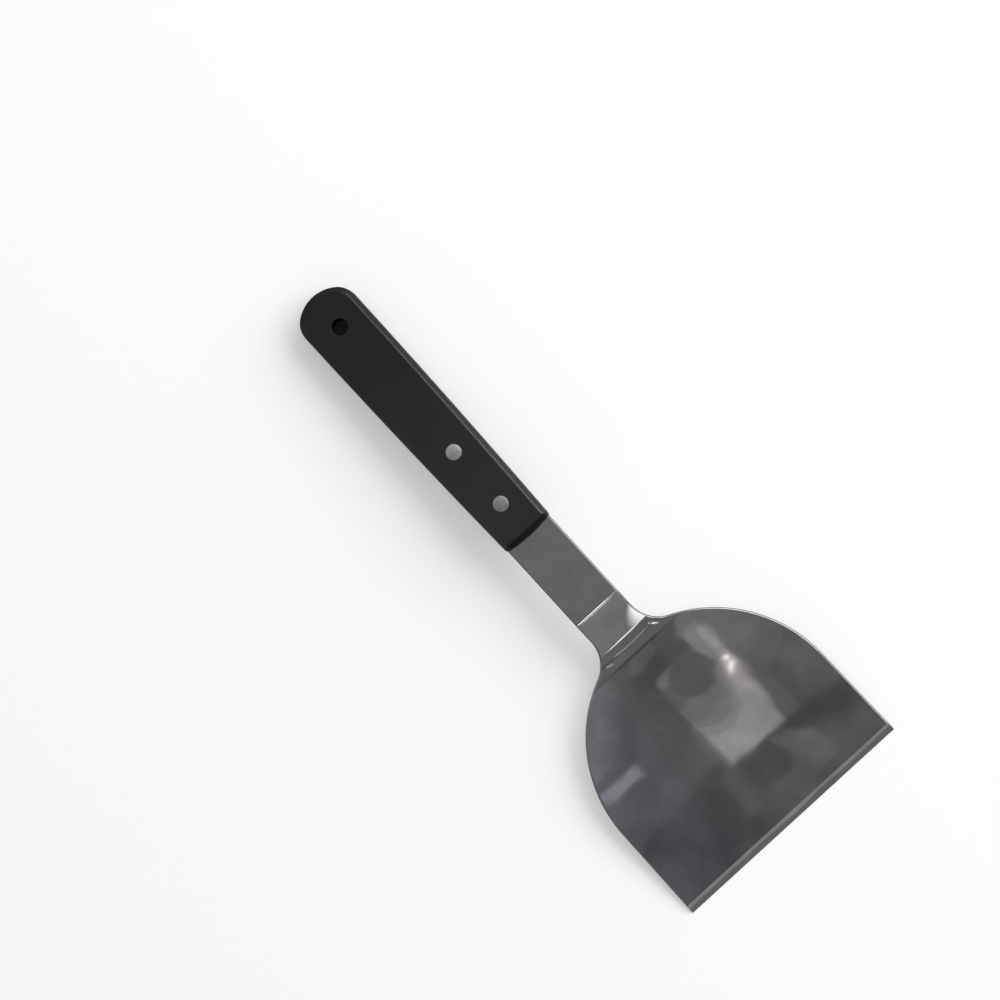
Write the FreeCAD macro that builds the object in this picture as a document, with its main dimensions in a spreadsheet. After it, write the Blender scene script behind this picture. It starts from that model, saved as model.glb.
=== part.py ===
import FreeCAD, Part
import math
import os

import Sketcher

# A hand scraper for a grill plate. One stainless sheet makes the blade, the cranked neck, the shank and the
# tang. A moulded handle covers the tang, and two compression rivets hold it. Millimetres throughout.
#
# The pieces are drawn in the tool's own frame: X runs from the handle's nose towards the cutting edge, Z is
# up through the handle's thickness, and the sheet's middle lies on Z = 0 inside the handle. Last, every piece
# gets the one placement that lays the tool down on its cutting edge and the rear of its handle.

doc = FreeCAD.newDocument("grill_scraper")

SIZES = [
    ("sheet_thickness", 1.8, "stainless sheet"),
    ("shank_width", 23.0, "across the shank"),
    ("shank_length", 41.6, "from the handle's nose to the first bend"),
    ("slope_length", 17.0, "sloping part of the crank"),
    ("slope_angle", 22.0, "slope, below the handle's line"),
    ("upper_facet_length", 3.6, "first pressed facet at the foot of the slope"),
    ("upper_facet_angle", 15.0, "its fall below the handle's line"),
    ("lower_facet_length", 5.0, "second pressed facet"),
    ("lower_facet_angle", 12.0, "its fall below the handle's line"),
    ("blade_length", 97.5, "from the last facet to the cutting edge"),
    ("blade_angle", 10.0, "blade, below the handle's line"),
    ("bend_radius", 0.7, "inside radius of the two bends"),
    ("blade_width", 114.3, "cutting edge, four and a half inches"),
    ("side_length", 43.5, "straight part of the blade's sides"),
    ("side_flare", 0.9, "how far each side opens out, in degrees"),
    ("shoulder_radius", 61.0, "convex shoulders"),
    ("neck_radius", 14.6, "concave neck"),
    ("bevel_width", 4.0, "ground bevel along the cutting edge"),
    ("edge_land", 0.35, "thickness left at the cutting edge"),
    ("edge_round", 0.7, "tumbled edges of the sheet"),
    ("tang_width", 15.8, "tang inside the handle"),
    ("tang_length", 58.0, "tang, from the nose back"),
    ("tang_corner", 4.0, "corner radius at the tang's end"),
    ("cut_margin", 10.0, "how far a cutting outline reaches past the metal"),
    ("handle_length", 134.8, "nose to rear end"),
    ("handle_width", 27.6, "widest, near the rear"),
    ("nose_width", 23.8, "at the nose"),
    ("nose_bow", 1.0, "how far the nose bulges towards the blade"),
    ("nose_round", 4.2, "round over the nose"),
    ("nose_corner", 1.4, "upright corners of the nose"),
    ("handle_thickness", 14.0, "moulded handle"),
    ("handle_chamfer", 2.1, "long edges and rear end"),
    ("rear_radius", 16.5, "curve of the rear end"),
    ("rear_corner", 9.5, "corners of the rear end"),
    ("hole_diameter", 6.9, "hanging hole"),
    ("hole_inset", 17.1, "its centre, from the rear end"),
    ("hole_lip", 0.5, "round at the hole's mouths"),
    ("slot_play", 0.1, "play round the tang in its slot"),
    ("seat_play", 0.05, "between the shank's shoulders and the nose"),
    ("rivet_inset", 17.6, "front rivet, from the nose"),
    ("rivet_margin", 11.2, "rear rivet, from the tang's end"),
    ("rivet_head_diameter", 6.7, "flush heads"),
    ("rivet_head_thickness", 1.6, "flush heads"),
    ("barrel_diameter", 4.6, "tube of the female half"),
    ("pin_diameter", 3.0, "pin of the male half"),
    ("pin_relief", 1.2, "from the pin's tip to the bottom of its bore"),
    ("rivet_play", 0.05, "play round the heads and the barrel"),
    ("press_play", 0.01, "play between pin and bore"),
]


def make_sheet(rows):
    """Puts the driving sizes into a spreadsheet, one alias to a row."""
    sheet = doc.addObject("Spreadsheet::Sheet", "Sizes")
    for row, (alias, value, note) in enumerate(rows, start=1):
        sheet.set(f"A{row}", alias)
        sheet.set(f"B{row}", str(value))
        sheet.set(f"C{row}", note)
        sheet.setAlias(f"B{row}", alias)
    doc.recompute()
    return sheet


sizes = make_sheet(SIZES)


def size(alias):
    """The value of one driving size."""
    return float(sizes.get(alias))


# Building blocks shared by the pieces

CLOSE = 0.01  # two places this near are the same place
FLAT = 1e-4  # an edge with less reach than this along an axis has none


def new_body(name):
    body = doc.addObject("PartDesign::Body", name)
    body.Label = name
    return body


def origin_item(body, role):
    """One of the body's own origin planes or axes, by its role."""
    return next(item for item in body.Origin.OriginFeatures if item.Role == role)


def new_sketch(body, name, role, lift=None):
    """A sketch on one of the body's origin planes, moved along its normal by an expression if given."""
    sketch = body.newObject("Sketcher::SketchObject", name)
    sketch.AttachmentSupport = [(origin_item(body, role), "")]
    sketch.MapMode = "FlatFace"
    if lift:
        sketch.setExpression("AttachmentOffset.Base.z", lift)
    return sketch


def point(x, y):
    return FreeCAD.Vector(x, y, 0)


def add_line(sketch, start, end):
    return sketch.addGeometry(Part.LineSegment(point(*start), point(*end)), False)


def add_arc(sketch, centre, start, end):
    """An arc round a centre, counter-clockwise from start to end."""
    turn = [math.atan2(place[1] - centre[1], place[0] - centre[0]) for place in (start, end)]
    circle = Part.Circle(point(*centre), FreeCAD.Vector(0, 0, 1), math.dist(centre, start))
    return sketch.addGeometry(Part.ArcOfCircle(circle, turn[0], turn[1]), False)


def add_chain(sketch, corners):
    """A closed chain of lines through the corners. Returns the lines."""
    ends = corners[1:] + corners[:1]
    lines = [add_line(sketch, start, end) for start, end in zip(corners, ends)]
    for line, following in zip(lines, lines[1:] + lines[:1]):
        relate(sketch, "Coincident", line, 2, following, 1)
    return lines


def relate(sketch, *terms):
    """A constraint with no size."""
    sketch.addConstraint(Sketcher.Constraint(*terms))


def bind(sketch, name, expression, *terms):
    """A named dimension tied to the sheet. The last term is its value at the start."""
    index = sketch.addConstraint(Sketcher.Constraint(*terms))
    sketch.renameConstraint(index, name)
    sketch.setExpression(f"Constraints.{name}", expression)


def add_disc(sketch, name, x, across, x_size, diameter_size):
    """A circle on the X axis, its place and diameter tied to the sheet."""
    circle = sketch.addGeometry(Part.Circle(point(x, 0), FreeCAD.Vector(0, 0, 1), across / 2), False)
    relate(sketch, "PointOnObject", circle, 3, -1)
    bind(sketch, f"{name}_place", x_size, "DistanceX", circle, 3, -1, 1, -x)
    bind(sketch, f"{name}_across", diameter_size, "Diameter", circle, across)


def pad(body, name, sketch, length):
    """Metal or plastic on both sides of a sketch."""
    feature = body.newObject("PartDesign::Pad", name)
    feature.Profile = sketch
    feature.Midplane = True
    feature.setExpression("Length", length)
    doc.recompute()
    return feature


def pocket(body, name, sketch, length, way="both"):
    """A cut from a sketch: both ways along its normal, down against it, or up along it."""
    before = body.Shape.Volume
    feature = body.newObject("PartDesign::Pocket", name)
    feature.Profile = sketch
    feature.Midplane = way == "both"
    feature.Reversed = way == "up"
    feature.setExpression("Length", length)
    doc.recompute()
    if not body.Shape.Volume < before:
        raise RuntimeError(f"{name} cuts nothing")
    return feature


def dress(body, kind, name, prop, expression, wanted):
    """A Fillet or Chamfer on the edges of the body so far that pass a test."""
    base = body.Tip
    edges = [f"Edge{number}" for number, edge in enumerate(base.Shape.Edges, start=1) if wanted(edge)]
    if not edges:
        raise RuntimeError(f"{name} finds no edges")
    feature = body.newObject(f"PartDesign::{kind}", name)
    feature.Base = (base, edges)
    feature.setExpression(prop, expression)
    doc.recompute()
    return feature


def near(value, target):
    return abs(value - target) < CLOSE


def middle(edge):
    """The point half way along an edge."""
    return edge.valueAt((edge.FirstParameter + edge.LastParameter) / 2)


def is_upright(edge):
    """True for a straight edge along Z."""
    box = edge.BoundBox
    return max(box.XLength, box.YLength) < FLAT < box.ZLength


# The nose's front face is bowed. Its curve is used twice, on the handle and on the shank's shoulders.
BOW_RADIUS = "((Sizes.nose_width / 2) ^ 2 + Sizes.nose_bow ^ 2) / (2 * Sizes.nose_bow)"


def bow_radius():
    return ((size("nose_width") / 2) ** 2 + size("nose_bow") ** 2) / (2 * size("nose_bow"))


# The sheet, seen from the side, is flat stretches that each fall at their own angle
STRETCHES = ["slope", "upper_facet", "lower_facet", "blade"]
EDGE_REACH = (
    "Sizes.shank_length - Sizes.sheet_thickness * sin(Sizes.blade_angle * 1 deg) + "
    + " + ".join(f"Sizes.{name}_length * cos(Sizes.{name}_angle * 1 deg)" for name in STRETCHES)
)


def fall(stretch):
    """How far a stretch falls below the handle's line, in radians."""
    return math.radians(size(f"{stretch}_angle"))


def along(start, angle, distance):
    """The place reached by going a distance down a fall."""
    return (start[0] + distance * math.cos(angle), start[1] - distance * math.sin(angle))


def through_sheet(corner, before, after, depth):
    """The place under an upper corner where two falls meet, mitred between them."""
    lean = (before + after) / 2
    reach = depth / math.cos((after - before) / 2)
    return (corner[0] - reach * math.sin(lean), corner[1] - reach * math.cos(lean))


def upper_corners():
    """Corners of the sheet's upper face seen from the side, with the bevel's metal still there."""
    half = size("sheet_thickness") / 2
    corners = [(-size("tang_length"), half), (size("shank_length"), half)]
    for stretch in STRETCHES:
        corners.append(along(corners[-1], fall(stretch), size(f"{stretch}_length")))
    return corners


def lower_corners():
    """Corners of the sheet's lower face, from the tang's end to the cutting edge."""
    falls = [0.0, 0.0] + [fall(stretch) for stretch in STRETCHES]
    falls.append(falls[-1])
    pairs = zip(upper_corners(), falls, falls[1:])
    return [through_sheet(corner, before, after, size("sheet_thickness")) for corner, before, after in pairs]


def side_profile(body):
    """The bent sheet seen from the side, with the bevel ground into its upper face."""
    sketch = new_sketch(body, "side_profile", "XZ_Plane")
    thickness, bevel = size("sheet_thickness"), size("bevel_width")
    upper, lower = upper_corners(), lower_corners()
    bevel_start = along(upper[5], fall("blade"), -bevel)
    land_top = through_sheet(upper[5], fall("blade"), fall("blade"), thickness - size("edge_land"))
    lines = add_chain(sketch, upper[:5] + [bevel_start, land_top] + lower[::-1])
    over, land, under, tang_end = lines[:5], lines[6], lines[11:6:-1], lines[12]
    relate(sketch, "Horizontal", over[0])
    relate(sketch, "Vertical", tang_end)
    relate(sketch, "Perpendicular", land, under[4])
    for place in range(5):
        relate(sketch, "Parallel", over[place], under[place])
        bind(
            sketch, f"thickness_{place}", "Sizes.sheet_thickness",
            "Distance", under[place], 1, over[place], thickness,
        )
    for line, stretch in zip(over[1:], STRETCHES):
        run, length = f"Sizes.{stretch}_length", size(f"{stretch}_length")
        if stretch == "blade":
            run, length = f"{run} - Sizes.bevel_width", length - bevel
        bind(sketch, f"{stretch}_run", run, "Distance", line, length)
        bind(sketch, f"{stretch}_fall", f"-Sizes.{stretch}_angle * 1 deg", "Angle", line, -fall(stretch))
    bind(sketch, "land", "Sizes.edge_land", "Distance", land, size("edge_land"))
    bind(sketch, "bevel", "Sizes.bevel_width", "Distance", over[4], 2, land, bevel)
    bind(sketch, "shank_end", "Sizes.shank_length", "DistanceX", -1, 1, over[0], 2, upper[1][0])
    bind(sketch, "tang_end", "Sizes.tang_length", "DistanceX", over[0], 1, -1, 1, -upper[0][0])
    bind(sketch, "upper_face", "Sizes.sheet_thickness / 2", "DistanceY", -1, 1, over[0], 1, thickness / 2)
    return sketch


def waste_outline(body):
    """What is cut away beside the blank on one side, bounded by the blank's outline from above."""
    sketch = new_sketch(body, "waste_outline", "XY_Plane")
    tang, shank, side = size("tang_width") / 2, size("shank_width") / 2, size("blade_width") / 2
    shoulder, neck, margin = size("shoulder_radius"), size("neck_radius"), size("cut_margin")
    flare = math.radians(size("side_flare"))
    tip = upper_corners()[5][0] - size("sheet_thickness") * math.sin(fall("blade"))
    bow, seat_radius = bow_radius(), bow_radius() + size("seat_play")
    front, rear, far = tip + margin, -size("tang_length") - margin, side + margin

    foot = (tip - size("side_length") * math.cos(flare), side - size("side_length") * math.sin(flare))
    shoulder_centre = (foot[0] + shoulder * math.sin(flare), foot[1] - shoulder * math.cos(flare))
    rise = shank + neck - shoulder_centre[1]
    neck_centre = (shoulder_centre[0] - math.sqrt((shoulder + neck) ** 2 - rise**2), shank + neck)
    share = shoulder / (shoulder + neck)
    meet = tuple(a + (b - a) * share for a, b in zip(shoulder_centre, neck_centre))
    seat_inner = (math.sqrt(seat_radius**2 - tang**2) - bow, tang)
    seat_outer = (math.sqrt(seat_radius**2 - shank**2) - bow, shank)
    side_end = (front, side + margin * math.tan(flare))

    tang_side = add_line(sketch, (rear, tang), seat_inner)
    seat = add_arc(sketch, (-bow, 0), seat_inner, seat_outer)
    shank_side = add_line(sketch, seat_outer, (neck_centre[0], shank))
    neck_arc = add_arc(sketch, neck_centre, (neck_centre[0], shank), meet)
    shoulder_arc = add_arc(sketch, shoulder_centre, foot, meet)
    blade_side = add_line(sketch, foot, side_end)
    front_line = add_line(sketch, side_end, (front, far))
    far_line = add_line(sketch, (front, far), (rear, far))
    rear_line = add_line(sketch, (rear, far), (rear, tang))

    relate(sketch, "Coincident", tang_side, 2, seat, 1)
    relate(sketch, "Coincident", seat, 2, shank_side, 1)
    relate(sketch, "Tangent", shank_side, 2, neck_arc, 1)
    relate(sketch, "Tangent", neck_arc, 2, shoulder_arc, 2)
    relate(sketch, "Tangent", shoulder_arc, 1, blade_side, 1)
    relate(sketch, "Coincident", blade_side, 2, front_line, 1)
    relate(sketch, "Coincident", front_line, 2, far_line, 1)
    relate(sketch, "Coincident", far_line, 2, rear_line, 1)
    relate(sketch, "Coincident", rear_line, 2, tang_side, 1)
    for line in (tang_side, shank_side, far_line):
        relate(sketch, "Horizontal", line)
    for line in (front_line, rear_line):
        relate(sketch, "Vertical", line)
    relate(sketch, "PointOnObject", seat, 3, -1)

    bind(sketch, "bow_centre", BOW_RADIUS, "DistanceX", seat, 3, -1, 1, bow)
    bind(sketch, "seat_radius", f"{BOW_RADIUS} + Sizes.seat_play", "Radius", seat, seat_radius)
    bind(sketch, "tang_half", "Sizes.tang_width / 2", "DistanceY", -1, 1, tang_side, 1, tang)
    bind(sketch, "shank_half", "Sizes.shank_width / 2", "DistanceY", -1, 1, shank_side, 1, shank)
    bind(sketch, "neck", "Sizes.neck_radius", "Radius", neck_arc, neck)
    bind(sketch, "shoulder", "Sizes.shoulder_radius", "Radius", shoulder_arc, shoulder)
    bind(sketch, "flare", "Sizes.side_flare * 1 deg", "Angle", blade_side, flare)
    bind(
        sketch, "foot_place", f"{EDGE_REACH} - Sizes.side_length * cos(Sizes.side_flare * 1 deg)",
        "DistanceX", -1, 1, blade_side, 1, foot[0],
    )
    bind(
        sketch, "foot_half", "Sizes.blade_width / 2 - Sizes.side_length * sin(Sizes.side_flare * 1 deg)",
        "DistanceY", -1, 1, blade_side, 1, foot[1],
    )
    bind(sketch, "front", f"{EDGE_REACH} + Sizes.cut_margin", "DistanceX", -1, 1, front_line, 1, front)
    bind(sketch, "rear", "Sizes.tang_length + Sizes.cut_margin", "DistanceX", rear_line, 2, -1, 1, -rear)
    bind(sketch, "far", "Sizes.blade_width / 2 + Sizes.cut_margin", "DistanceY", -1, 1, far_line, 1, far)
    return sketch


def rivet_places():
    """Each rivet's name, its X, and the expression for its distance behind the nose."""
    return [
        ("front", -size("rivet_inset"), "Sizes.rivet_inset"),
        ("rear", size("rivet_margin") - size("tang_length"), "Sizes.tang_length - Sizes.rivet_margin"),
    ]


def rivet_bore():
    """Diameter of the holes that the rivets' barrels pass through, and its expression."""
    return size("barrel_diameter") + 2 * size("rivet_play"), "Sizes.barrel_diameter + 2 * Sizes.rivet_play"


def rivet_discs(body, name, diameter, diameter_size, lift=None):
    """A sketch with a circle round each rivet's axis."""
    sketch = new_sketch(body, name, "XY_Plane", lift)
    for rivet, x, x_size in rivet_places():
        add_disc(sketch, rivet, x, diameter, x_size, diameter_size)
    return sketch


def at_corner(corner):
    """A test for an edge across the strip through one corner of the side profile."""
    return lambda edge: near(middle(edge).x, corner[0]) and near(middle(edge).z, corner[1])


def make_blade():
    """The sheet: bent from the side profile, cut to the blank's outline, pierced for the rivets, tumbled."""
    body = new_body("blade")
    upper, lower = upper_corners(), lower_corners()
    pad(body, "bent_strip", side_profile(body), "Sizes.blade_width + 2 * Sizes.cut_margin")
    inside, outside = "Sizes.bend_radius", "Sizes.bend_radius + Sizes.sheet_thickness"
    dress(body, "Fillet", "first_bend_outside", "Radius", outside, at_corner(upper[1]))
    dress(body, "Fillet", "first_bend_inside", "Radius", inside, at_corner(lower[1]))
    dress(body, "Fillet", "second_bend_inside", "Radius", inside, at_corner(upper[2]))
    dress(body, "Fillet", "second_bend_outside", "Radius", outside, at_corner(lower[2]))

    depth = "Sizes.blade_length + Sizes.handle_thickness"
    trim = pocket(body, "trim", waste_outline(body), depth)
    mirror = body.newObject("PartDesign::Mirrored", "trim_other_side")
    mirror.Originals = [trim]
    mirror.MirrorPlane = (origin_item(body, "XZ_Plane"), [""])
    body.Tip = mirror
    doc.recompute()

    def is_tang_corner(edge):
        return is_upright(edge) and near(middle(edge).x, -size("tang_length"))

    def is_shank_side(edge):
        """Straight along X at the shank's full width. The round runs on from here to the ground bevel."""
        box = edge.BoundBox
        return near(abs(middle(edge).y), size("shank_width") / 2) and box.ZLength < FLAT < box.XLength

    dress(body, "Fillet", "tang_corners", "Radius", "Sizes.tang_corner", is_tang_corner)
    dress(body, "Fillet", "tumbled_edges", "Radius", "Sizes.edge_round", is_shank_side)
    bore, bore_size = rivet_bore()
    pocket(body, "pierce", rivet_discs(body, "rivet_holes", bore, bore_size), "2 * Sizes.sheet_thickness")
    return body


def handle_outline(body):
    """The handle seen from above: bowed nose, sides that swell towards the rear, curved rear end."""
    sketch = new_sketch(body, "outline", "XY_Plane")
    nose, half = size("nose_width") / 2, size("handle_width") / 2
    bow, rear_radius = bow_radius(), size("rear_radius")
    nose_x = -size("nose_bow")
    rear_centre = rear_radius - size("handle_length")
    corner_x = rear_centre - math.sqrt(rear_radius**2 - half**2)
    run, swell = nose_x - corner_x, half - nose
    side_radius = (run**2 + swell**2) / (2 * swell)

    nose_arc = add_arc(sketch, (-bow, 0), (nose_x, -nose), (nose_x, nose))
    rear_arc = add_arc(sketch, (rear_centre, 0), (corner_x, half), (corner_x, -half))
    left = add_arc(sketch, (corner_x, half - side_radius), (nose_x, nose), (corner_x, half))
    right = add_arc(sketch, (corner_x, side_radius - half), (corner_x, -half), (nose_x, -nose))
    relate(sketch, "Coincident", nose_arc, 2, left, 1)
    relate(sketch, "Coincident", left, 2, rear_arc, 1)
    relate(sketch, "Coincident", rear_arc, 2, right, 1)
    relate(sketch, "Coincident", right, 2, nose_arc, 1)
    relate(sketch, "Symmetric", nose_arc, 1, nose_arc, 2, -1)
    relate(sketch, "Symmetric", rear_arc, 1, rear_arc, 2, -1)
    relate(sketch, "Vertical", left, 3, left, 2)
    relate(sketch, "Vertical", right, 3, right, 1)
    bind(sketch, "bow_centre", BOW_RADIUS, "DistanceX", nose_arc, 3, -1, 1, bow)
    bind(sketch, "bow_radius", BOW_RADIUS, "Radius", nose_arc, bow)
    bind(sketch, "nose_half", "Sizes.nose_width / 2", "DistanceY", -1, 1, nose_arc, 2, nose)
    bind(sketch, "half", "Sizes.handle_width / 2", "DistanceY", -1, 1, rear_arc, 1, half)
    bind(sketch, "rear_radius", "Sizes.rear_radius", "Radius", rear_arc, rear_radius)
    bind(
        sketch, "rear_centre", "Sizes.handle_length - Sizes.rear_radius",
        "DistanceX", rear_arc, 3, -1, 1, -rear_centre,
    )
    return sketch


def tang_slot(body):
    """The blind slot for the tang, seen from above, open past the nose."""
    sketch = new_sketch(body, "slot_outline", "XY_Plane")
    half = size("tang_width") / 2 + size("slot_play")
    back, front = -size("tang_length") - size("slot_play"), size("cut_margin")
    lines = add_chain(sketch, [(back, -half), (front, -half), (front, half), (back, half)])
    relate(sketch, "Horizontal", lines[0])
    relate(sketch, "Horizontal", lines[2])
    relate(sketch, "Vertical", lines[1])
    relate(sketch, "Vertical", lines[3])
    slot_half = "Sizes.tang_width / 2 + Sizes.slot_play"
    bind(sketch, "left_half", slot_half, "DistanceY", -1, 1, lines[2], 1, half)
    bind(sketch, "right_half", slot_half, "DistanceY", lines[0], 1, -1, 1, half)
    bind(sketch, "back", "Sizes.tang_length + Sizes.slot_play", "DistanceX", lines[0], 1, -1, 1, -back)
    bind(sketch, "front", "Sizes.cut_margin", "DistanceX", -1, 1, lines[1], 1, front)
    return sketch


def make_handle():
    """The moulded handle: swelling outline, chamfers, rounded nose, slot, rivet seats and hanging hole."""
    body = new_body("handle")
    half = size("handle_thickness") / 2
    behind_nose = -size("handle_length") / 2
    nose_x = -size("nose_bow")

    def is_rim(edge):
        return near(abs(middle(edge).z), half) and edge.BoundBox.ZLength < FLAT

    def is_nose_rim(edge):
        return is_rim(edge) and middle(edge).x > nose_x

    def is_long_rim(edge):
        return is_rim(edge) and not is_nose_rim(edge)

    def is_rear_corner(edge):
        return is_upright(edge) and middle(edge).x < behind_nose

    def is_nose_corner(edge):
        return is_upright(edge) and near(middle(edge).x, nose_x)

    pad(body, "moulding", handle_outline(body), "Sizes.handle_thickness")
    dress(body, "Fillet", "rear_corners", "Radius", "Sizes.rear_corner", is_rear_corner)
    dress(body, "Chamfer", "long_edges", "Size", "Sizes.handle_chamfer", is_long_rim)
    dress(body, "Fillet", "nose_edges", "Radius", "Sizes.nose_round", is_nose_rim)
    dress(body, "Fillet", "nose_corners", "Radius", "Sizes.nose_corner", is_nose_corner)
    pocket(body, "slot", tang_slot(body), "Sizes.sheet_thickness + 2 * Sizes.slot_play")

    barrel, barrel_size = rivet_bore()
    pocket(body, "barrel_holes", rivet_discs(body, "barrels", barrel, barrel_size), "Sizes.handle_thickness")
    head = size("rivet_head_diameter") + 2 * size("rivet_play")
    head_size = "Sizes.rivet_head_diameter + 2 * Sizes.rivet_play"
    for side, lift, way in (("upper", "", "down"), ("lower", "-", "up")):
        seats = rivet_discs(body, f"{side}_heads", head, head_size, f"{lift}Sizes.handle_thickness / 2")
        pocket(body, f"{side}_seats", seats, "Sizes.rivet_head_thickness", way)

    hole = new_sketch(body, "hanging_hole_outline", "XY_Plane")
    hole_x = size("hole_inset") - size("handle_length")
    place = "Sizes.handle_length - Sizes.hole_inset"
    add_disc(hole, "hole", hole_x, size("hole_diameter"), place, "Sizes.hole_diameter")
    pocket(body, "hanging_hole", hole, "Sizes.handle_thickness")

    def is_hole_mouth(edge):
        return is_rim(edge) and near(edge.CenterOfMass.x, hole_x) and near(edge.CenterOfMass.y, 0)

    dress(body, "Fillet", "hole_lips", "Radius", "Sizes.hole_lip", is_hole_mouth)
    return body


def rivet_half(name, outline):
    """One half of a rivet, turned about its own Z axis from a chain of radius and height pairs."""
    body = new_body(name)
    sketch = new_sketch(body, f"{name}_section", "XZ_Plane")
    lines = add_chain(sketch, [(radius, height) for radius, height, _, _ in outline])
    for number, (line, (radius, height, radius_size, height_size)) in enumerate(zip(lines, outline)):
        if radius_size:
            bind(sketch, f"radius_{number}", radius_size, "DistanceX", -1, 1, line, 1, radius)
        else:
            relate(sketch, "PointOnObject", line, 1, -2)
        bind(sketch, f"height_{number}", height_size, "DistanceY", -1, 1, line, 1, height)
    turned = body.newObject("PartDesign::Revolution", f"{name}_turned")
    turned.Profile = sketch
    turned.ReferenceAxis = (sketch, ["V_Axis"])
    turned.Angle = 360
    doc.recompute()
    return body


def make_rivet(rivet):
    """Both halves of one rivet: a pin under the upper head, pressed into the tube on the lower head."""
    face, seat = size("handle_thickness") / 2, size("handle_thickness") / 2 - size("rivet_head_thickness")
    head, barrel, pin = (size(f"{part}_diameter") / 2 for part in ("rivet_head", "barrel", "pin"))
    bore, tip = pin + size("press_play"), size("pin_relief") - seat

    face_size = "Sizes.handle_thickness / 2"
    seat_size = f"({face_size} - Sizes.rivet_head_thickness)"
    head_size, barrel_size = "Sizes.rivet_head_diameter / 2", "Sizes.barrel_diameter / 2"
    pin_size = "Sizes.pin_diameter / 2"
    bore_size, tip_size = f"{pin_size} + Sizes.press_play", f"Sizes.pin_relief - {seat_size}"

    male = [
        (0, tip, None, tip_size),
        (pin, tip, pin_size, tip_size),
        (pin, seat, pin_size, seat_size),
        (head, seat, head_size, seat_size),
        (head, face, head_size, face_size),
        (0, face, None, face_size),
    ]
    female = [
        (0, -face, None, f"-{face_size}"),
        (head, -face, head_size, f"-{face_size}"),
        (head, -seat, head_size, f"-{seat_size}"),
        (barrel, -seat, barrel_size, f"-{seat_size}"),
        (barrel, seat, barrel_size, seat_size),
        (bore, seat, bore_size, seat_size),
        (bore, -seat, bore_size, f"-{seat_size}"),
        (0, -seat, None, f"-{seat_size}"),
    ]
    return rivet_half(f"rivet_{rivet}_male", male), rivet_half(f"rivet_{rivet}_female", female)


def resting_turn():
    """The turn about Y that brings the cutting edge and the handle's rear underside to one level."""
    edge_x, edge_z = lower_corners()[5]
    heel_x = size("handle_chamfer") - size("handle_length")
    heel_z = -size("handle_thickness") / 2
    tilt = math.degrees(math.atan2(heel_z - edge_z, edge_x - heel_x))
    return FreeCAD.Placement(FreeCAD.Vector(), FreeCAD.Rotation(FreeCAD.Vector(0, 1, 0), -tilt))


def lay_down(bodies):
    """Turns the whole tool to its rest and sets the origin under the middle of its bounding box."""
    turn = resting_turn()
    own_places = {body.Name: body.Placement for body in bodies}
    for body in bodies:
        body.Placement = turn.multiply(own_places[body.Name])
    doc.recompute()
    boxes = [body.Shape.optimalBoundingBox(False) for body in bodies]
    middle_x = (min(box.XMin for box in boxes) + max(box.XMax for box in boxes)) / 2
    middle_y = (min(box.YMin for box in boxes) + max(box.YMax for box in boxes)) / 2
    lowest = min(box.ZMin for box in boxes)
    shift = FreeCAD.Placement(FreeCAD.Vector(-middle_x, -middle_y, -lowest), FreeCAD.Rotation())
    for body in bodies:
        body.Placement = shift.multiply(body.Placement)
    doc.recompute()


pieces = [make_blade(), make_handle()]
for rivet, x, _ in rivet_places():
    for rivet_piece in make_rivet(rivet):
        rivet_piece.Placement = FreeCAD.Placement(FreeCAD.Vector(x, 0, 0), FreeCAD.Rotation())
        pieces.append(rivet_piece)
lay_down(pieces)

for item in doc.Objects:
    if {"Invalid", "Error"} & set(item.State):
        raise RuntimeError(f"{item.Label} failed to build")
os.makedirs("parts", exist_ok=True)
for piece in pieces:
    shape = piece.Shape
    if shape.isNull() or not shape.isValid() or len(shape.Solids) != 1:
        raise RuntimeError(f"{piece.Label} is not one sound solid")
    shape.exportStep(f"parts/{piece.Label}.step")
    print(piece.Label, shape.BoundBox, round(shape.Volume, 2))
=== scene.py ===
import math

import bpy
from mathutils import Matrix, Vector

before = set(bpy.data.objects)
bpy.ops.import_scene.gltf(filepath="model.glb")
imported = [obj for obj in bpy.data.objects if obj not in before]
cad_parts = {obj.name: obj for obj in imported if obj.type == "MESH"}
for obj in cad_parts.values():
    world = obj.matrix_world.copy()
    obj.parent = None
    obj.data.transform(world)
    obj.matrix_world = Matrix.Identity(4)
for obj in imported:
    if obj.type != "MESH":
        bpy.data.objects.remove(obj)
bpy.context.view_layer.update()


# The camera looks down on the tool through a long lens, so its sides stay nearly parallel. It leans a little
# towards the tool's +Y side and is turned so that the cutting edge points to the lower right of the picture.

VIEW_TURN = math.radians(47.5)
VIEW_LEAN = math.radians(1.5)
VIEW_WIDTH = 0.418
VIEW_CENTRE = Vector((-0.0334, 0.0005, 0.010))
CAMERA_DISTANCE = 4.0

towards_camera = Vector((0, math.sin(VIEW_LEAN), math.cos(VIEW_LEAN)))
picture_right = Vector((math.cos(VIEW_TURN), math.sin(VIEW_TURN), 0))
picture_right = (picture_right - picture_right.dot(towards_camera) * towards_camera).normalized()
picture_up = towards_camera.cross(picture_right)

camera_data = bpy.data.cameras.new("camera")
camera_data.sensor_width = 36
camera_data.lens = camera_data.sensor_width * CAMERA_DISTANCE / VIEW_WIDTH
camera_data.clip_start, camera_data.clip_end = 0.05, 50
camera = bpy.data.objects.new("camera", camera_data)
bpy.context.scene.collection.objects.link(camera)
camera.matrix_world = (
    Matrix.Translation(VIEW_CENTRE + CAMERA_DISTANCE * towards_camera)
    @ Matrix((picture_right, picture_up, towards_camera)).transposed().to_4x4()
)
bpy.context.scene.camera = camera
bpy.context.scene.view_settings.view_transform = "Standard"


# The sheet: one piece of stainless steel, stamped to its outline, bent to a crank at the neck, polished all
# over, with the cutting edge's bevel ground last. The rolled sheet keeps a slight wave and a faint grain.

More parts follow.
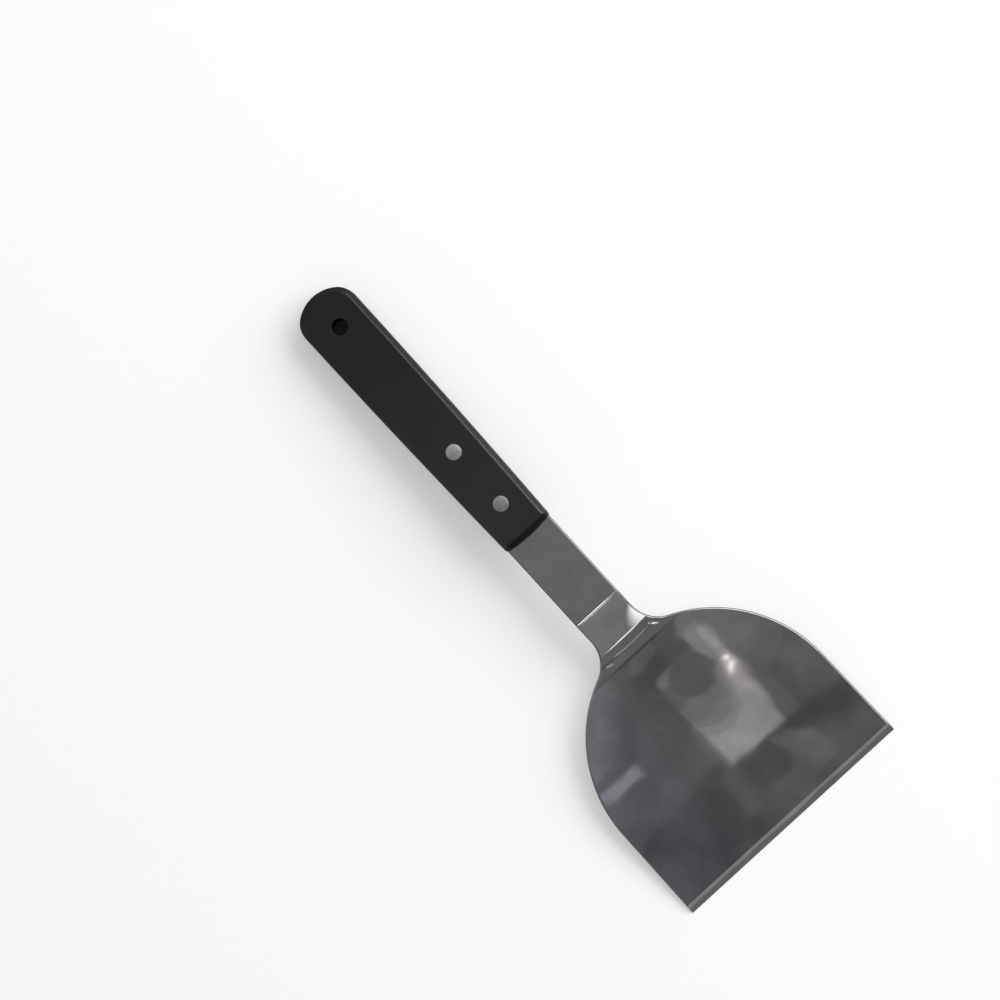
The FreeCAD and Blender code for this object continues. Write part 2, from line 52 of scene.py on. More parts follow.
STEEL_COLOUR = (0.53, 0.525, 0.515, 1)
HAZE_COLOUR = (0.46, 0.455, 0.45, 1)  # where the polish is hazier
RIM_COLOUR = (0.16, 0.16, 0.16, 1)  # the sheared edges, dulled by tumbling
CREASE_PAINTED_SHADE = (0.05, 0.05, 0.05, 1)  # painted shade: the dark line where the last facet meets the blade
POLISH = (0.016, 0.032)  # roughness of the polished faces, clear and hazy
BEVEL_ROUGHER, RIM_ROUGHER = 0.13, 0.5
ROLLED_LINES, GROUND_LINES = (150, 3600, 150), (250, 5200, 250)  # how fine the grain is on each axis
WAVE_DEPTH, ROLLED_DEPTH, GROUND_DEPTH = 0.00003, 0.0000004, 0.000006

SLOPE_END = 0.04363  # X where the slope meets the first pressed facet
FACETS_MEET = 0.04716  # X where the first facet meets the second
FACETS_END = 0.05211  # X where the second facet meets the blade
BEVEL_START = 0.14505  # X where the ground bevel begins

PRESS_LINE = 0.0476  # X of the bowed step between the facets, on the tool's middle
PRESS_BOW = 5.5  # how far back the step's ends reach, for each square metre across
PRESS_DEPTH = 0.000036
PRESS_ENDS = (0.0075, 0.0108)  # how far off the middle the step begins and ceases to die away
CREASE_SHADE_SHARE = 0.45  # how much of the painted shade in the last crease shows at most
TWIST_START = 0.031  # X where the slope begins to twist beside the +Y neck curve
TWIST_FOOT = SLOPE_END - 0.0007  # X where the twist is widest
TWIST_LENGTH = 0.0085  # back from its foot, over which the twist narrows and moves outwards
TWIST_WIDTH, TWIST_NARROWS, TWIST_LEAST = 0.016, 0.0125, 0.001
TWIST_MIDDLE, TWIST_STRAYS = 0.0088, 0.0028  # Y of its middle at the foot, and how far that moves outwards
NICKS = ((0.0487, -0.0125, 0.3, 0.093), (0.0477, 0.0131, 0.75, 0.110))  # X, Y, skew and lean of each
NICK_HALF_LENGTH, NICK_HALF_WIDTH = 0.0019, 0.0006

# How far each of these tips the face at most, along X, Y and Z.
HOLLOW_LEAN = (-0.1181, 0, 0.0312)
TWIST_LEAN = (-0.043, 0, 0)
DISH_LEAN = (0.045, 0, 0)
BEVEL_LEAN = (-0.088, 0, 0.045)


def feed(tree, socket, value):
    """A node's input gets a link or a plain value."""
    if isinstance(value, bpy.types.NodeSocket):
        tree.links.new(value, socket)
    else:
        socket.default_value = value


def new_finish(name):
    """A material with a shader of its own. Returns the material, its node tree and the shader."""
    finish = bpy.data.materials.new(name)
    finish.use_nodes = True
    tree = finish.node_tree
    return finish, tree, tree.nodes["Principled BSDF"]


def add_node(tree, kind, settings=None, **values):
    """A node with its settings, and values or links for its inputs by name."""
    made = tree.nodes.new(f"ShaderNode{kind}")
    for name, value in (settings or {}).items():
        setattr(made, name, value)
    for name, value in values.items():
        feed(tree, made.inputs[name.replace("_", " ")], value)
    return made


def calculate(tree, operation, *values):
    """A Math node on two or three values or links."""
    made = add_node(tree, "Math", {"operation": operation})
    for socket, value in zip(made.inputs, values):
        feed(tree, socket, value)
    return made.outputs["Value"]


def combine(tree, operation, *vectors):
    """A Vector Math node on vectors or links."""
    made = add_node(tree, "VectorMath", {"operation": operation})
    for socket, vector in zip(made.inputs, vectors):
        feed(tree, socket, vector)
    return made.outputs


def stretched(tree, coordinates, scale):
    """The piece's own coordinates, scaled along each axis."""
    return add_node(tree, "Mapping", Vector=coordinates, Scale=scale).outputs["Vector"]


def spread(tree, value, low, high, to_low, to_high):
    """A value mapped smoothly from one range to another."""
    mapped = add_node(
        tree, "MapRange", {"interpolation_type": "SMOOTHSTEP"},
        Value=value, From_Min=low, From_Max=high, To_Min=to_low, To_Max=to_high,
    )
    return mapped.outputs["Result"]


def band(tree, value, start, end, ease):
    """1 between two values, fading to 0 outside each over the ease."""
    rise = spread(tree, value, start - ease, start, 0.0, 1.0)
    return calculate(tree, "MULTIPLY", rise, spread(tree, value, end, end + ease, 1.0, 0.0))


def lean(tree, normal, amount, direction):
    """The normal leaned in a direction by an amount."""
    push = add_node(tree, "VectorMath", {"operation": "SCALE"}, Vector=direction, Scale=amount)
    return combine(tree, "ADD", normal, push.outputs["Vector"])["Vector"]


steel, tree, shader = new_finish("polished stainless sheet")
place = tree.nodes.new("ShaderNodeTexCoord").outputs["Object"]
axes = add_node(tree, "SeparateXYZ", Vector=place).outputs
along, across = axes["X"], axes["Y"]
off_middle = calculate(tree, "ABSOLUTE", across)
smooth = tree.nodes.new("ShaderNodeNewGeometry").outputs["Normal"]
sideways = calculate(tree, "ABSOLUTE", add_node(tree, "SeparateXYZ", Vector=smooth).outputs["Y"])
rim = spread(tree, sideways, 0.15, 0.55, 0.0, 1.0)
ground = spread(tree, along, BEVEL_START - 0.00005, BEVEL_START + 0.00005, 0.0, 1.0)

wave = add_node(tree, "TexNoise", Vector=place, Scale=45.0, Detail=1.0, Roughness=0.4).outputs["Fac"]
smudge = add_node(tree, "TexNoise", Vector=place, Scale=75.0, Detail=4.0, Roughness=0.6).outputs["Fac"]
rolled = add_node(tree, "TexNoise", Vector=stretched(tree, place, ROLLED_LINES), Scale=1.0, Detail=3.0)
grinding = add_node(tree, "TexNoise", Vector=stretched(tree, place, GROUND_LINES), Scale=1.0, Detail=2.0)

rough = calculate(tree, "MULTIPLY_ADD", ground, BEVEL_ROUGHER, spread(tree, smudge, 0.3, 0.7, *POLISH))
rough = calculate(tree, "MULTIPLY_ADD", rim, RIM_ROUGHER, rough)
tree.links.new(rough, shader.inputs["Roughness"])
hazy = spread(tree, smudge, 0.3, 0.7, 0.0, 1.0)
cloudy = add_node(tree, "MixRGB", Fac=hazy, Color1=STEEL_COLOUR, Color2=HAZE_COLOUR)
metal = add_node(tree, "MixRGB", Fac=rim, Color1=cloudy.outputs["Color"], Color2=RIM_COLOUR)
# Painted shade: a dark line along the crease where the last facet meets the blade, fainter off the middle.
crease_shade = band(tree, along, FACETS_END - 0.0002, FACETS_END + 0.0002, 0.0008)
crease_shade = calculate(tree, "MULTIPLY", crease_shade, spread(tree, off_middle, 0.008, 0.017, 1.0, 0.3))
crease_shade = calculate(tree, "MULTIPLY", crease_shade, CREASE_SHADE_SHARE)
crease_shaded = add_node(tree, "MixRGB", Fac=crease_shade, Color1=metal.outputs["Color"], Color2=CREASE_PAINTED_SHADE)
tree.links.new(crease_shaded.outputs["Color"], shader.inputs["Base Color"])

# Where the press left the faces less than flat: the slope runs into the first facet through a small hollow
# and twists beside the +Y neck curve, the second facet is dished, and the stamp's corners nicked its ends.
hollow = spread(tree, along, SLOPE_END - 0.0005, SLOPE_END + 0.0005, 0.0, 1.0)
hollow = calculate(tree, "SUBTRACT", hollow, calculate(tree, "GREATER_THAN", along, SLOPE_END))
facing = lean(tree, smooth, hollow, HOLLOW_LEAN)

from_foot = calculate(tree, "DIVIDE", calculate(tree, "SUBTRACT", TWIST_FOOT, along), TWIST_LENGTH)
width = calculate(tree, "MULTIPLY_ADD", from_foot, -TWIST_NARROWS, TWIST_WIDTH)
width = calculate(tree, "MAXIMUM", width, TWIST_LEAST)
half_at = calculate(tree, "MULTIPLY", calculate(tree, "MULTIPLY", from_foot, from_foot), TWIST_STRAYS)
half_at = calculate(tree, "ADD", half_at, TWIST_MIDDLE)
turned = calculate(tree, "DIVIDE", calculate(tree, "SUBTRACT", across, half_at), width)
turned = calculate(tree, "ADD", turned, calculate(tree, "MULTIPLY_ADD", wave, 0.4, -0.2))
twist = spread(tree, turned, -0.5, 0.5, 0.0, 1.0)
twist = calculate(tree, "MULTIPLY", twist, band(tree, along, TWIST_START, SLOPE_END, 0.0005))
facing = lean(tree, facing, twist, TWIST_LEAN)

dish = spread(tree, along, FACETS_MEET - 0.0005, FACETS_MEET + 0.0012, 0.0, 1.0)
dish = calculate(tree, "MULTIPLY", dish, calculate(tree, "LESS_THAN", along, FACETS_END))
facing = lean(tree, facing, dish, DISH_LEAN)

for nick_x, nick_y, skew, turn in NICKS:
    past = calculate(tree, "SUBTRACT", across, nick_y)
    beside = calculate(tree, "SUBTRACT", along, calculate(tree, "MULTIPLY_ADD", past, skew, nick_x))
    past = calculate(tree, "DIVIDE", past, NICK_HALF_LENGTH)
    beside = calculate(tree, "DIVIDE", beside, NICK_HALF_WIDTH)
    spot = calculate(tree, "MULTIPLY_ADD", past, past, calculate(tree, "MULTIPLY", beside, beside))
    facing = lean(tree, facing, spread(tree, spot, 0.5, 1.3, turn, 0.0), (1, 0, 0))

# The bevel is ground a little hollow, so its inner part faces less far forward.
uneven = calculate(tree, "MULTIPLY_ADD", wave, 0.0016, along)
inner = spread(tree, uneven, BEVEL_START + 0.0019, BEVEL_START + 0.0027, 1.0, 0.0)
facing = lean(tree, facing, calculate(tree, "MULTIPLY", ground, inner), BEVEL_LEAN)
facing = combine(tree, "NORMALIZE", facing)["Vector"]

# The bowed step that the press marked between the facets: it rises at once and dies away towards the blade.
bow = calculate(tree, "MULTIPLY", calculate(tree, "MULTIPLY", across, across), -PRESS_BOW)
from_step = calculate(tree, "SUBTRACT", calculate(tree, "SUBTRACT", along, PRESS_LINE), bow)
step = spread(tree, from_step, -0.0003, 0.0003, 0.0, 1.0)
step = calculate(tree, "MULTIPLY", step, spread(tree, from_step, 0.0006, 0.0045, 1.0, 0.0))
step = calculate(tree, "MULTIPLY", step, spread(tree, off_middle, *PRESS_ENDS, 1.0, 0.0))

# The rolled sheet's wave and grain, the step, and the grinding lines on the bevel.
for height, depth, strength in (
    (wave, WAVE_DEPTH, 1.0), (rolled.outputs["Fac"], ROLLED_DEPTH, 1.0), (step, PRESS_DEPTH, 1.0),
    (grinding.outputs["Fac"], GROUND_DEPTH, ground),
):
    bump = add_node(tree, "Bump", Height=height, Distance=depth, Strength=strength, Normal=facing)
    facing = bump.outputs["Normal"]
tree.links.new(facing, shader.inputs["Normal"])
shader.inputs["Metallic"].default_value = 1.0
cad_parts["blade"].material_slots[0].material = steel


# The handle: one black plastic moulding over the tang, with chamfered long edges, a rounded nose and a
# hanging hole. The mould leaves a fine matt texture, smoother along the edges and where hands rub it.

PLASTIC_COLOUR = (0.0128, 0.0120, 0.0143, 1)
NOSE_PAINTED_SHADE = (0.0085, 0.0082, 0.0095, 1)  # painted shade: the nose is darker than the rest of the handle
NOSE_START = -0.0174
EDGE_RADIUS, WORN_EDGE_RADIUS = 0.0005, 0.0012  # at the holes and seats, and along the outside
OUTSIDE = (0.0065, 0.009)  # how far off the middle the worn outside begins and is reached
REAR_END = (-0.146, -0.140)  # X over which the wear begins, ahead of the rear end
PLASTIC_ROUGHNESS = (0.44, 0.54)  # rubbed, and as moulded
WORN_SMOOTHER = 0.17  # how much smoother the worn edges are
GLOSS, WORN_GLOSS = 0.32, 0.75  # of the faces, and what the worn edges add
GLOSS_RANGE, GLOSS_RISE = (-0.135, -0.03), (0.72, 1.24)  # X, and the rise towards where the fingers rub
NOSE_DULLER = 0.62

plastic, tree, shader = new_finish("black moulded plastic")
place = tree.nodes.new("ShaderNodeTexCoord").outputs["Object"]
axes = add_node(tree, "SeparateXYZ", Vector=place).outputs
along = axes["X"]
mould = add_node(tree, "TexNoise", Vector=place, Scale=2400.0, Detail=2.0).outputs["Fac"]
rubbed = add_node(tree, "TexNoise", Vector=place, Scale=60.0, Detail=4.0, Roughness=0.6).outputs["Fac"]

outer = spread(tree, calculate(tree, "ABSOLUTE", axes["Y"]), *OUTSIDE, 0.0, 1.0)
outer = calculate(tree, "MULTIPLY", outer, spread(tree, along, *REAR_END, 0.0, 1.0))
radius = calculate(tree, "MULTIPLY_ADD", outer, WORN_EDGE_RADIUS - EDGE_RADIUS, EDGE_RADIUS)
soft_edges = add_node(tree, "Bevel", {"samples": 6}, Radius=radius).outputs["Normal"]
texture = add_node(tree, "Bump", Height=mould, Distance=0.00001, Strength=1.0, Normal=soft_edges)
tree.links.new(texture.outputs["Normal"], shader.inputs["Normal"])

flat = tree.nodes.new("ShaderNodeNewGeometry").outputs["Normal"]
rounding = combine(tree, "DOT_PRODUCT", soft_edges, flat)["Value"]
worn = calculate(tree, "MULTIPLY", spread(tree, rounding, 0.925, 0.998, 1.0, 0.0), outer)
rough = spread(tree, rubbed, 0.3, 0.7, *PLASTIC_ROUGHNESS)
tree.links.new(calculate(tree, "MULTIPLY_ADD", worn, -WORN_SMOOTHER, rough), shader.inputs["Roughness"])

# The nose's darker colour is painted shade, and its gloss is lowered too.
nose = spread(tree, along, NOSE_START, NOSE_START + 0.0008, 0.0, 1.0)
shade = add_node(tree, "MixRGB", Fac=nose, Color1=PLASTIC_COLOUR, Color2=NOSE_PAINTED_SHADE)
tree.links.new(shade.outputs["Color"], shader.inputs["Base Color"])

facing_back = add_node(tree, "SeparateXYZ", Vector=flat).outputs["X"]
dull = calculate(tree, "MULTIPLY_ADD", nose, -NOSE_DULLER, 1.0)
dull = calculate(tree, "MULTIPLY", dull, spread(tree, facing_back, -0.6, -0.2, 0.45, 1.0))
dull = calculate(tree, "MULTIPLY", dull, spread(tree, along, *GLOSS_RANGE, *GLOSS_RISE))
gloss = calculate(tree, "MULTIPLY", calculate(tree, "MULTIPLY_ADD", worn, WORN_GLOSS, GLOSS), dull)
tree.links.new(gloss, shader.inputs["Specular IOR Level"])
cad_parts["handle"].material_slots[0].material = plastic


# The rivets: two-part compression rivets, each a pin pressed into a tube, with flush flat heads. The heads
# are tumbled stainless, duller and lighter than the sheet, with small dents.

REAR_COLOUR = (0.56, 0.55, 0.55, 1)
FRONT_COLOUR = (0.44, 0.43, 0.435, 1)  # the front rivet's head is a little greyer than the rear one's
FRONT_CENTRE, REAR_CENTRE = -0.03198, -0.06112  # X of the heads' middles
BETWEEN_HEADS = (-0.048, -0.045)  # X over which one colour turns into the other
DENT_DEPTH = 0.00004
CROWN_RADIUS = 0.020  # the heads are very slightly crowned

rivet_steel, tree, shader = new_finish("tumbled rivet steel")
place = tree.nodes.new("ShaderNodeTexCoord").outputs["Object"]
axes = add_node(tree, "SeparateXYZ", Vector=place).outputs
dents = add_node(tree, "TexNoise", Vector=place, Scale=900.0, Detail=3.0, Roughness=0.6).outputs["Fac"]
tree.links.new(spread(tree, dents, 0.3, 0.7, 0.28, 0.42), shader.inputs["Roughness"])
dented = add_node(tree, "Bump", Height=dents, Distance=DENT_DEPTH, Strength=1.0)
off_centres = [
    calculate(tree, "ABSOLUTE", calculate(tree, "SUBTRACT", axes["X"], centre))
    for centre in (FRONT_CENTRE, REAR_CENTRE)
]
off_centre = calculate(tree, "MINIMUM", *off_centres)
squared = calculate(tree, "MULTIPLY", off_centre, off_centre)
squared = calculate(tree, "MULTIPLY_ADD", axes["Y"], axes["Y"], squared)
crown = calculate(tree, "MULTIPLY", squared, -0.5 / CROWN_RADIUS)
crowned = add_node(tree, "Bump", Height=crown, Distance=1.0, Normal=dented.outputs["Normal"])
tree.links.new(crowned.outputs["Normal"], shader.inputs["Normal"])
front = spread(tree, axes["X"], *BETWEEN_HEADS, 0.0, 1.0)
tumbled = add_node(tree, "MixRGB", Fac=front, Color1=REAR_COLOUR, Color2=FRONT_COLOUR)
tree.links.new(tumbled.outputs["Color"], shader.inputs["Base Color"])
shader.inputs["Metallic"].default_value = 1.0
for rivet in ("front", "rear"):
    for half in ("male", "female"):
        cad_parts[f"rivet_{rivet}_{half}"].material_slots[0].material = rivet_steel


# The floor: a plain white sheet that shows white to the eye and in reflections, and keeps a soft shadow.
# Its paint and glow are darkened, as painted shade, where the tool covers it or stands near.
# Seen from underneath it lets the view through.

FLOOR_HALF = 12.0
FLOOR_PAINT = 0.8
FLOOR_PAINTED_SHADE = 0.2  # painted shade: the paint where the tool all but covers it, as under the hanging hole
FLOOR_GLOW = 0.38
COVER_DISTANCE = 0.02  # how near the tool is to a place that it covers, for the painted shade

floor_mesh = bpy.data.meshes.new("floor")
corners = [(x * FLOOR_HALF, y * FLOOR_HALF, 0) for x, y in ((-1, -1), (1, -1), (1, 1), (-1, 1))]
floor_mesh.from_pydata(corners, [], [(0, 1, 2, 3)])
floor = bpy.data.objects.new("floor", floor_mesh)
bpy.context.scene.collection.objects.link(floor)

floor_paper = bpy.data.materials.new("white floor paper")
floor_paper.use_nodes = True
tree = floor_paper.node_tree
tree.nodes.clear()
ray = tree.nodes.new("ShaderNodeLightPath").outputs
seen = calculate(tree, "MAXIMUM", ray["Is Camera Ray"], ray["Is Glossy Ray"])
seen = calculate(tree, "MAXIMUM", seen, ray["Is Transmission Ray"])
open_air = add_node(tree, "AmbientOcclusion", {"samples": 8}, Distance=COVER_DISTANCE).outputs["AO"]
# Painted shade: the glow fades where the tool covers the floor or stands near it.
glow_level = calculate(tree, "MULTIPLY", seen, spread(tree, open_air, 0.15, 0.6, 0.0, FLOOR_GLOW))
glow = add_node(tree, "Emission", Strength=glow_level)
# Painted shade: the paint darkens where the tool covers the floor, as under the hanging hole.
paint = add_node(tree, "BsdfDiffuse", Color=spread(tree, open_air, 0.03, 0.3, FLOOR_PAINTED_SHADE, FLOOR_PAINT))
paper = tree.nodes.new("ShaderNodeAddShader")
tree.links.new(glow.outputs["Emission"], paper.inputs[0])
tree.links.new(paint.outputs["BSDF"], paper.inputs[1])
underneath = tree.nodes.new("ShaderNodeNewGeometry").outputs["Backfacing"]
side = add_node(tree, "MixShader", Fac=underneath)
tree.links.new(paper.outputs["Shader"], side.inputs[1])
tree.links.new(tree.nodes.new("ShaderNodeBsdfTransparent").outputs["BSDF"], side.inputs[2])
add_node(tree, "OutputMaterial", Surface=side.outputs["Shader"])
floor_mesh.materials.append(floor_paper)


# The studio: pale walls all round and a dark ceiling, darkest where the blade mirrors it. The walls ahead of
# the cutting edge, behind the handle and on the -Y side are dimmer. A large soft lamp stands on the +Y side.

CEILING_MIDDLE = Vector((0.218, -0.026, 0.975)).normalized()
CEILING_STEPS = [
    (0.0, 0.17), (0.08, 0.2), (0.25, 0.25), (0.34, 0.43), (0.47, 0.5), (0.75, 0.8), (1.0, 0.92),
]
FAR_END_LEVEL, FAR_END_CORNER = 0.38, 0.3
DIM_SIDE_LEVEL = 0.3
NEAR_END_LEVEL = 0.45
LAMP_WIDTH, LAMP_HEIGHT, LAMP_WATTS = 3.3, 2.2, 60
LAMP_PLACE = (-0.1, 2.2, 1.9)

world = bpy.data.worlds.new("studio")
bpy.context.scene.world = world
world.use_nodes = True
tree = world.node_tree
tree.nodes.clear()
direction = tree.nodes.new("ShaderNodeTexCoord").outputs["Generated"]
angle = calculate(tree, "ARCCOSINE", combine(tree, "DOT_PRODUCT", direction, CEILING_MIDDLE)["Value"])
ceiling = add_node(tree, "ValToRGB", Fac=calculate(tree, "DIVIDE", angle, math.radians(90)))
ramp = ceiling.color_ramp
while len(ramp.elements) < len(CEILING_STEPS):
    ramp.elements.new(1.0)
for element, (position, level) in zip(ramp.elements, CEILING_STEPS):
    element.position = position
    element.color = (level, level, level, 1)
axes = add_node(tree, "SeparateXYZ", Vector=direction).outputs
far_end = spread(tree, axes["X"], 0.66, 0.84, 1.0, FAR_END_LEVEL)
far_end = calculate(tree, "MULTIPLY", far_end, spread(tree, axes["X"], 0.87, 0.97, 1.0, FAR_END_CORNER))
dim_side = spread(tree, axes["Y"], -0.9, -0.15, DIM_SIDE_LEVEL, 1.0)
near_end = spread(tree, axes["X"], -0.85, -0.35, NEAR_END_LEVEL, 1.0)
level = calculate(tree, "MULTIPLY", calculate(tree, "MULTIPLY", far_end, dim_side), near_end)
walls = add_node(tree, "Background", Color=ceiling.outputs["Color"], Strength=level)
add_node(tree, "OutputWorld", Surface=walls.outputs["Background"])

side_lamp = bpy.data.lights.new("side_lamp", "AREA")
side_lamp.shape, side_lamp.size, side_lamp.size_y = "RECTANGLE", LAMP_WIDTH, LAMP_HEIGHT
side_lamp.energy = LAMP_WATTS
lamp = bpy.data.objects.new("side_lamp", side_lamp)
bpy.context.scene.collection.objects.link(lamp)
lamp.location = LAMP_PLACE
lamp.rotation_euler = (-lamp.location).to_track_quat("-Z", "Y").to_euler()


# High over the tool hang dark and grey cards, a pale reflector, a round lens in front of it, and strips. They
# light nothing and only show in the polish. Each hangs where the steel mirrors it to the camera.

CARD_HEIGHT = 0.90
BLADE_FALL = math.radians(6.28)
EDGE_X = 0.14887
COOL, WARM = (0.95, 0.98, 1.12, 1), (1.03, 1.0, 0.98, 1)
TINT_CHANGE = (-0.09, 0.02)  # Y over which the cards turn from cool to warm


def mirrored_spot(back, across, height):
    """The place at a height that the blade mirrors: millimetres back from its cutting edge, and across."""
    back, across = back / 1000, across / 1000
    spot = Vector((EDGE_X - back * math.cos(BLADE_FALL), across, back * math.sin(BLADE_FALL)))
    facing = Vector((math.sin(BLADE_FALL), 0, math.cos(BLADE_FALL)))
    sight = (spot - camera.location).normalized().reflect(facing)
    return spot + sight * (height - spot.z) / sight.z


def hang_card(name, corners, glow, mottle=0.0, fade=None):
    """A flat glowing card, uneven, tinted from cool to warm across. It can fade between two of its places."""
    mesh = bpy.data.meshes.new(name)
    mesh.from_pydata(corners, [], [range(len(corners))])
    card = bpy.data.objects.new(name, mesh)
    bpy.context.scene.collection.objects.link(card)
    card.visible_camera = card.visible_diffuse = card.visible_shadow = False
    paint = bpy.data.materials.new(name)
    paint.use_nodes = True
    tree = paint.node_tree
    tree.nodes.clear()
    place = tree.nodes.new("ShaderNodeTexCoord").outputs["Object"]
    cloud = add_node(tree, "TexNoise", Vector=place, Scale=26.0, Detail=3.0, Roughness=0.5).outputs["Fac"]
    level = spread(tree, cloud, 0.3, 0.7, 1 - mottle, 1 + mottle)
    if fade:
        start, end, left = fade
        run = end - start
        from_start = combine(tree, "SUBTRACT", place, start)["Vector"]
        part_way = combine(tree, "DOT_PRODUCT", from_start, run / run.length_squared)["Value"]
        level = calculate(tree, "MULTIPLY", level, spread(tree, part_way, 0, 1, 1, left))
    side = spread(tree, add_node(tree, "SeparateXYZ", Vector=place).outputs["Y"], *TINT_CHANGE, 0.0, 1.0)
    tint = add_node(tree, "MixRGB", Fac=side, Color1=COOL, Color2=WARM)
    colour = add_node(
        tree, "MixRGB", {"blend_type": "MULTIPLY"},
        Fac=1.0, Color1=(glow, glow, glow, 1), Color2=tint.outputs["Color"],
    )
    shine = add_node(tree, "Emission", Color=colour.outputs["Color"], Strength=level)
    add_node(tree, "OutputMaterial", Surface=shine.outputs["Emission"])
    mesh.materials.append(paint)


def hang_over_blade(name, lower, outline, glow, mottle=0.0, fade=None):
    """A card hung lower than the strips, which covers those above it. Its outline and the ends of its fade
    are given by where the blade mirrors them."""
    height = CARD_HEIGHT - lower
    corners = [mirrored_spot(*place, height) for place in outline]
    if fade:
        start, end, left = fade
        fade = (mirrored_spot(*start, height), mirrored_spot(*end, height), left)
    hang_card(name, corners, glow, mottle, fade)


def hang_strip(name, x_start, x_end, y_start, y_end, glow, fade=None):
    """A bright strip for the bends, clear of what the flat faces mirror."""
    ends = ((x_start, y_start), (x_end, y_start), (x_end, y_end), (x_start, y_end))
    hang_card(name, [(x, y, CARD_HEIGHT) for x, y in ends], glow, fade=fade)


# The ceiling over the blade, its lighter patches at both shoulders, and the gaps between them.
hang_over_blade("dark_card", 0, [(98, -70), (98, 70), (-5, 70), (-5, -70)], 0.148, 0.28)
hang_over_blade("low_gap", 0.009, [(34, -2), (34, 15), (21, 18.5), (17, 14), (18, 0)], 0.125, 0.12)
grey_outline = [(79, -70), (87, 70), (32, 70), (40, -15), (37, -45), (27, -70)]
hang_over_blade("grey_card", 0.01, grey_outline, 0.18, 0.25)
hang_over_blade("low_card", 0.01, [(33, 15.8), (31.5, 24.5), (23, 32.5), (9, 36), (10, 22)], 0.21, 0.2)
hang_over_blade("low_left", 0.011, [(36, -12), (36, -3), (14, -4), (14, -11)], 0.165, 0.12)
hang_over_blade("top_card", 0.012, [(99, -34), (99, 8), (91.2, 5), (91.2, -34)], 0.19, 0.15)
right_outline = [(99, 21), (99, 60), (70, 60), (58, 44), (56, 36), (36, 34), (36, 24), (88, 24), (90.5, 17)]
hang_over_blade("right_shoulder", 0.012, right_outline, 0.27, 0.12, ((86, 30), (64, 44), 0.76))
top_gap = [(91, -12), (91, 5), (86, 7), (84, 3), (83, -4), (72, -5), (73, -19), (84, -20)]
hang_over_blade("top_gap", 0.013, top_gap, 0.14, 0.1, ((79, -12), (88, -4), 0.8))
left_outline = [(99, -4), (99, -60), (69, -60), (67.5, -41), (64, -31), (75, -22), (91, -9)]
hang_over_blade("left_shoulder", 0.014, left_outline, 0.28, 0.12, ((80, -40), (69, -25.8), 0.53))
hang_over_blade("bar", 0.02, [(63.5, -53), (63.5, -32.4), (57.5, -32.4), (57.5, -53)], 0.42)

# The pale reflector, dimmer at its top, with a brighter border on its right.
hang_over_blade("left_margin", 0.0195, [(58, -6.5), (58, -3), (36, -3), (36, -6.5)], 0.215, 0.1)
pale_outline = [(84, -2.4), (84.8, 3), (86, 12), (77, 27.5), (35.2, 26.8), (35.2, -3.9)]
hang_over_blade("pale_card", 0.02, pale_outline, 0.5, 0.12)
pale_top = [(84, -2.6), (84.8, 3), (86, 12), (84, 23), (66, 23), (66, -3.2)]
hang_over_blade("pale_top", 0.0205, pale_top, 0.27, 0.1, ((83, 0), (83, 12), 0.72))
pale_corner = [(90.5, 18), (90.5, 27.8), (75, 27.6), (70, 22.5), (76, 20.5)]
hang_over_blade("pale_corner", 0.021, pale_corner, 0.37, 0.12)
pale_border = [
    (88, 25.4), (87, 29.4), (74, 28.8), (60, 28), (50, 27.5), (37, 27.3), (37, 24.6), (50, 24.6),
    (60, 23), (66, 22.6), (74, 25),
]
hang_over_blade("pale_border", 0.03, pale_border, 0.56, 0.25, ((60, 25), (84, 27.5), 0.86))

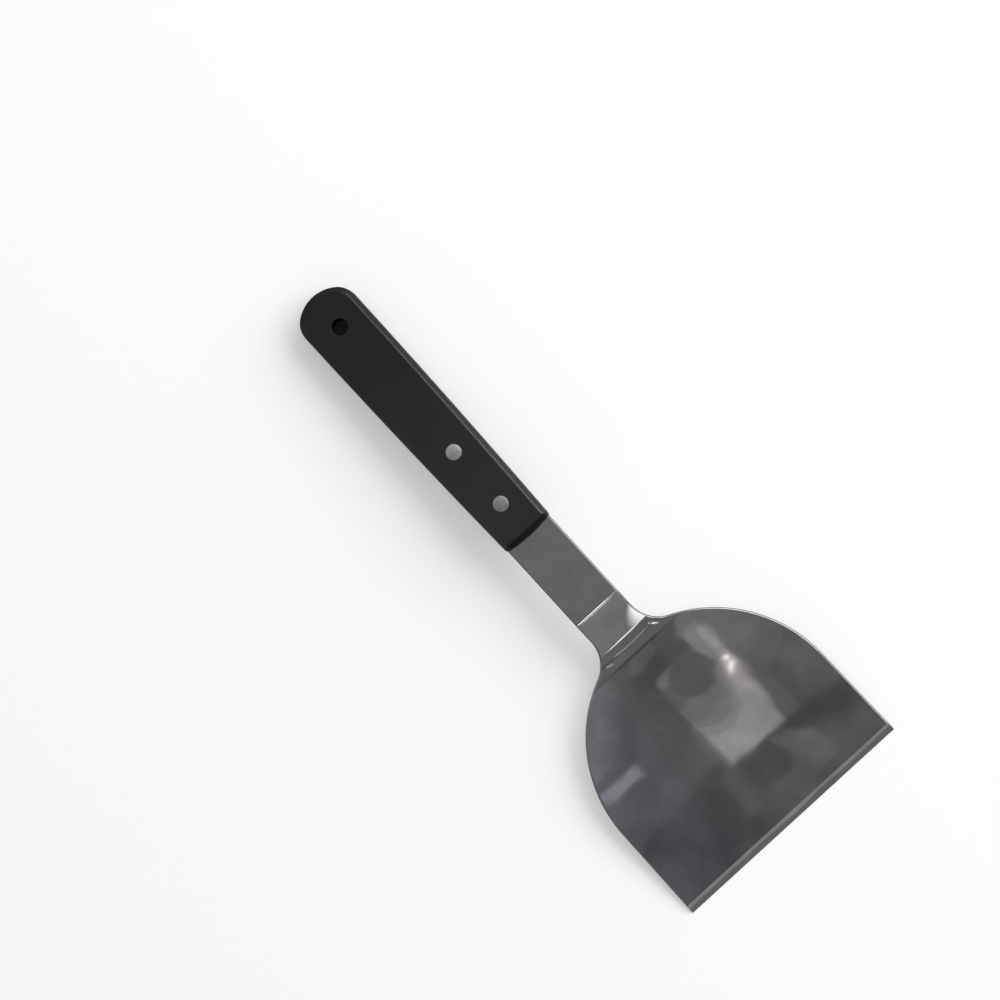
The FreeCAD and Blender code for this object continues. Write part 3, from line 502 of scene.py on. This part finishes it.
# The round lens over the reflector and the rings of its barrel.
wide_ring = [
    (70, -3.3), (51, -3.4), (48.4, 1), (47.7, 5), (47.8, 9), (48.8, 12.6), (51, 15.8), (54, 18.2), (58, 20),
    (62, 21.2), (66, 22.1), (70, 23),
]
hang_over_blade("wide_ring", 0.022, wide_ring, 0.4, 0.08)
middle_ring = [
    (70, -3.25), (56.5, -3.4), (53.8, 0.5), (52.4, 4), (52, 8), (53, 11.6), (55, 14.6), (57.8, 17),
    (61.5, 18.8), (66, 20.4), (70, 21.8),
]
hang_over_blade("middle_ring", 0.023, middle_ring, 0.315, 0.08)
lens_ring = [
    (70, -3.2), (60, -3.3), (58.2, 0), (57.4, 4), (57.6, 8), (58.8, 11.6), (60.6, 14.6), (63, 17), (66, 18.8),
    (70, 20.4),
]
hang_over_blade("lens_ring", 0.0235, lens_ring, 0.262, 0.08)
hang_over_blade("lens_side", 0.024, [(79, -3.1), (79, 3), (67, 3), (67, -3.2)], 0.19, 0.08)
round_turns = [math.radians(12) * turn for turn in range(30)]
lens = [(74.7 + 10.7 * math.cos(turn), 10.6 + 10.4 * math.sin(turn)) for turn in round_turns]
hang_over_blade("lens", 0.03, lens, 0.163, 0.1)

# Two small bright glints beside the lens, in their own haze.
glint_halo = [(72.2, 25.5), (70.5, 28.2), (64, 28.2), (62.5, 26), (64, 22.8), (68.5, 22.6)]
hang_over_blade("glint_halo", 0.035, glint_halo, 0.68, 0.2)
upper_glint = [(70.3, 25.6), (69.9, 26.3), (69.1, 26.3), (68.7, 25.6), (69.1, 24.9), (69.9, 24.9)]
hang_over_blade("upper_glint", 0.04, upper_glint, 6.2)
lower_glint = [(66.8, 25.2), (66.1, 26.4), (65.1, 26), (64.8, 24.8), (64.8, 23.7), (65.6, 23.6), (66, 24.6)]
hang_over_blade("lower_glint", 0.04, lower_glint, 4.2)

# The strips: the near ones show in the first bend, the next in the pressed step, and the far ones at the
# neck's foot, on its +Y side and in the nicks.
hang_strip("near_strip", 0.06, 0.18, -0.0375, -0.0160, 2.7)
hang_strip("near_strip_end", 0.06, 0.18, -0.0160, -0.0095, 0.9)
hang_strip("step_strip", 0.19, 0.245, -0.041, -0.004, 0.7)
hang_strip("far_strip", 0.50, 0.59, -0.0370, -0.0170, 3.6)
side_fade = (Vector((0.615, 0, CARD_HEIGHT)), Vector((0.715, 0, CARD_HEIGHT)), 0.13)
hang_strip("far_strip_side", 0.60, 0.715, -0.0345, 0.0, 2.0, side_fade)
hang_strip("nick_strip", 0.57, 0.66, -0.050, -0.0395, 0.52)
